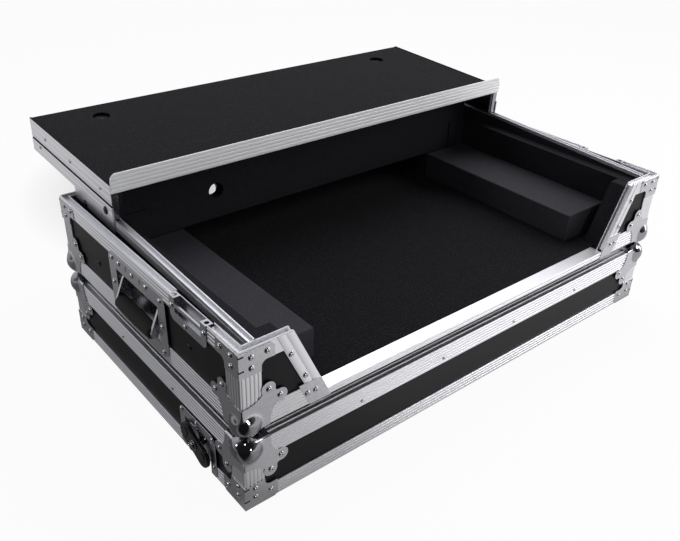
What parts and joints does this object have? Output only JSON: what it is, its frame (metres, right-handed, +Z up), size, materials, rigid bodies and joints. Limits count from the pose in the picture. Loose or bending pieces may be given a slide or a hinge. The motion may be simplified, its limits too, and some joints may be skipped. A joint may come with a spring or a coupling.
{
  "type": "dj controller flight case",
  "caption": "Open flight case for a DJ controller, standing on its lid, with a sliding laptop shelf, ball corners, butterfly latches and side handles.",
  "frame": {"origin": "under the middle of the whole object, on the surface that it stands on", "axes": "+X to the right of someone who stands at the cut-out front, -Y to that front, +Z up"},
  "size_m": [0.831, 0.6234, 0.315],
  "materials": {
    "black_laminate": "fine-grained laminate on plywood",
    "satin_aluminium": "fluted satin extrusion",
    "chromed_corner": "bright pressed steel",
    "zinc_plate": "zinc-plated pressed steel",
    "black_plastic": "moulded",
    "black_rubber": "smooth sleeve",
    "dark_foam": "closed-cell foam",
    "black_carpet": "short felt pile"
  },
  "bodies": {
    "lid": {"lid_top_panel": "black_laminate", "lid_left_panel": "black_laminate", "lid_right_panel": "black_laminate", "lid_front_panel": "black_laminate", "lid_back_panel": "black_laminate", "lid_edge_frame": "satin_aluminium", "lid_rim_frame": "satin_aluminium", "lid_ball_corner_front_left": "chromed_corner", "lid_ball_corner_front_right": "chromed_corner", "lid_ball_corner_rear_left": "chromed_corner", "lid_ball_corner_rear_right": "chromed_corner", "left_latch_dish": "zinc_plate", "right_latch_dish": "zinc_plate", "back_left_latch_dish": "zinc_plate", "back_right_latch_dish": "zinc_plate"},
    "left_key": {"left_latch_key": "black_plastic"},
    "left_hook": {"left_latch_hook": "zinc_plate"},
    "right_key": {"right_latch_key": "black_plastic"},
    "right_hook": {"right_latch_hook": "zinc_plate"},
    "back_left_key": {"back_left_latch_key": "black_plastic"},
    "back_left_hook": {"back_left_latch_hook": "zinc_plate"},
    "back_right_key": {"back_right_latch_key": "black_plastic"},
    "back_right_hook": {"back_right_latch_hook": "zinc_plate"},
    "left_handle": {"left_handle_bail": "zinc_plate", "left_handle_grip": "black_rubber"},
    "right_handle": {"right_handle_bail": "zinc_plate", "right_handle_grip": "black_rubber"},
    "laptop_shelf": {"shelf_board": "black_laminate", "shelf_carpet": "black_carpet", "shelf_lip": "satin_aluminium", "left_shelf_bracket": "satin_aluminium", "right_shelf_bracket": "satin_aluminium", "left_shelf_glide": "black_plastic", "right_shelf_glide": "black_plastic"},
    "base": {"base_floor_panel": "black_laminate", "base_left_panel": "black_laminate", "base_right_panel": "black_laminate", "base_back_panel": "black_laminate", "front_left_return_panel": "black_laminate", "front_right_return_panel": "black_laminate", "base_edge_frame": "satin_aluminium", "base_rim_frame": "satin_aluminium", "left_rail": "satin_aluminium", "right_rail": "satin_aluminium", "base_ball_corner_front_left": "chromed_corner", "base_ball_corner_front_right": "chromed_corner", "base_ball_corner_rear_left": "chromed_corner", "base_ball_corner_rear_right": "chromed_corner", "left_latch_keep": "zinc_plate", "right_latch_keep": "zinc_plate", "back_left_latch_keep": "zinc_plate", "back_right_latch_keep": "zinc_plate", "left_handle_dish": "zinc_plate", "left_foam_ledge": "dark_foam", "left_side_lining": "dark_foam", "right_handle_dish": "zinc_plate", "right_foam_ledge": "dark_foam", "right_side_lining": "dark_foam", "cable_partition": "dark_foam", "floor_carpet": "black_carpet"}
  },
  "joints": [
    {"name": "base_lift", "type": "slide", "parent": "lid", "child": "base", "axis": [0, 0, 1], "range_m": [0, 0.15]},
    {"name": "shelf_slide", "type": "slide", "parent": "base", "child": "laptop_shelf", "axis": [0, -0.9992, -0.0407], "range_m": [0, 0.29]},
    {"name": "left_handle_swing", "type": "hinge", "parent": "base", "child": "left_handle", "pos_m": [-0.392, -0.06316, 0.1853], "axis": [0, 1, 0], "range_deg": [0, 90]},
    {"name": "right_handle_swing", "type": "hinge", "parent": "base", "child": "right_handle", "pos_m": [0.392, -0.06316, 0.1853], "axis": [0, -1, 0], "range_deg": [0, 90]},
    {"name": "left_key_turn", "type": "hinge", "parent": "lid", "child": "left_key", "pos_m": [-0.4, -0.19716, 0.033], "axis": [-1, 0, 0], "range_deg": [0, 180]},
    {"name": "left_hook_slide", "type": "slide", "parent": "lid", "child": "left_hook", "axis": [0, 0, -1], "range_m": [0, 0.011]},
    {"name": "right_key_turn", "type": "hinge", "parent": "lid", "child": "right_key", "pos_m": [0.4, -0.19716, 0.033], "axis": [1, 0, 0], "range_deg": [0, 180]},
    {"name": "right_hook_slide", "type": "slide", "parent": "lid", "child": "right_hook", "axis": [0, 0, -1], "range_m": [0, 0.011]},
    {"name": "back_left_key_turn", "type": "hinge", "parent": "lid", "child": "back_left_key", "pos_m": [-0.215, 0.17284, 0.033], "axis": [0, 1, 0], "range_deg": [0, 180]},
    {"name": "back_left_hook_slide", "type": "slide", "parent": "lid", "child": "back_left_hook", "axis": [0, 0, -1], "range_m": [0, 0.011]},
    {"name": "back_right_key_turn", "type": "hinge", "parent": "lid", "child": "back_right_key", "pos_m": [0.215, 0.17284, 0.033], "axis": [0, 1, 0], "range_deg": [0, 180]},
    {"name": "back_right_hook_slide", "type": "slide", "parent": "lid", "child": "back_right_hook", "axis": [0, 0, -1], "range_m": [0, 0.011]}
  ],
  "couplings": [
    {"joint": "left_key_turn", "follows": "left_hook_slide", "rad_per_m": 285},
    {"joint": "right_key_turn", "follows": "right_hook_slide", "rad_per_m": 285},
    {"joint": "back_left_key_turn", "follows": "back_left_hook_slide", "rad_per_m": 285},
    {"joint": "back_right_key_turn", "follows": "back_right_hook_slide", "rad_per_m": 285}
  ]
}
